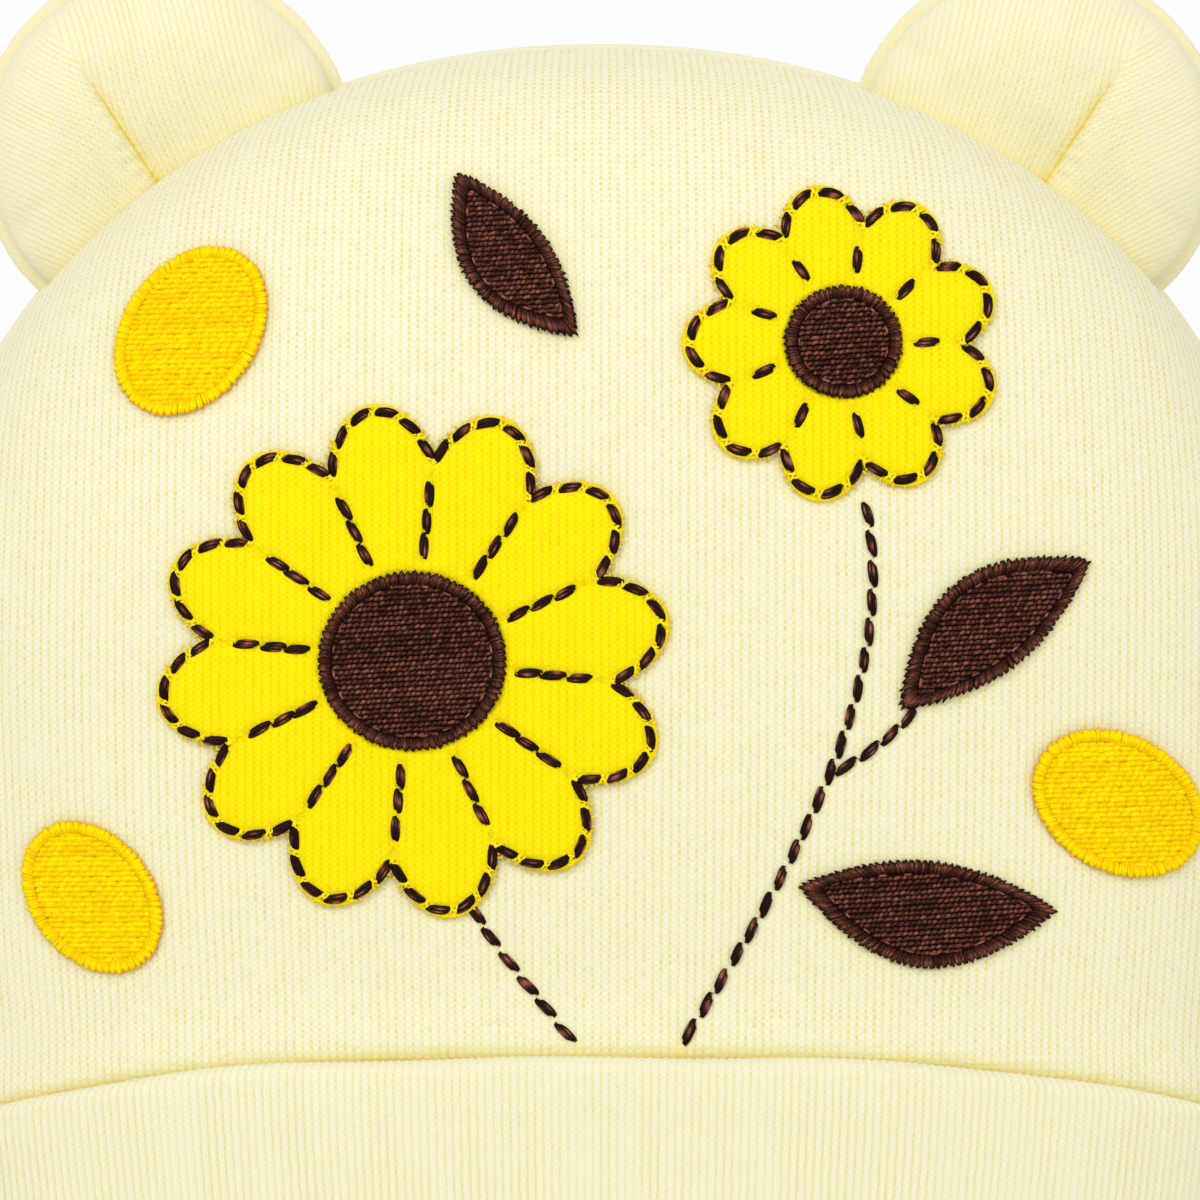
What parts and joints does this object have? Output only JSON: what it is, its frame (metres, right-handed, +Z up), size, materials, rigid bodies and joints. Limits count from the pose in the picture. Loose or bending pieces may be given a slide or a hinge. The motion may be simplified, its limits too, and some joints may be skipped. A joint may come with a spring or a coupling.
{
  "type": "animal ear cap",
  "caption": "Soft knitted baby cap with two round padded ears, a turned-up cuff and a stitched sunflower spray on the front.",
  "frame": {"origin": "middle of the rim, on the surface that the cap stands on", "axes": "+Z up towards the top of the crown, the front with the sunflowers faces -Y, the ears stand apart along X"},
  "size_m": [0.1594, 0.0732, 0.1631],
  "materials": {
    "knit_crown": "pale yellow fine-gauge cotton knit, matt",
    "knit_cuff": "pale yellow doubled cotton knit, matt",
    "knit_ear": "pale yellow cotton knit stretched over padding, matt",
    "jersey_yellow": "bright yellow cotton jersey, matt",
    "embroidery_brown": "dark brown embroidery thread, slight sheen",
    "embroidery_amber": "amber embroidery thread, slight sheen"
  },
  "bodies": {
    "root": {"crown_front": "knit_crown", "crown_back": "knit_crown", "cuff": "knit_cuff", "ear_left": "knit_ear", "ear_right": "knit_ear", "sunflower_large": "jersey_yellow", "flower_centre_large": "embroidery_brown", "sunflower_small": "jersey_yellow", "flower_centre_small": "embroidery_brown", "leaf_upper": "embroidery_brown", "leaf_lower": "embroidery_brown", "leaf_top": "embroidery_brown", "bud_left": "embroidery_amber", "bud_right": "embroidery_amber", "bud_low": "embroidery_amber"}
  },
  "joints": []
}
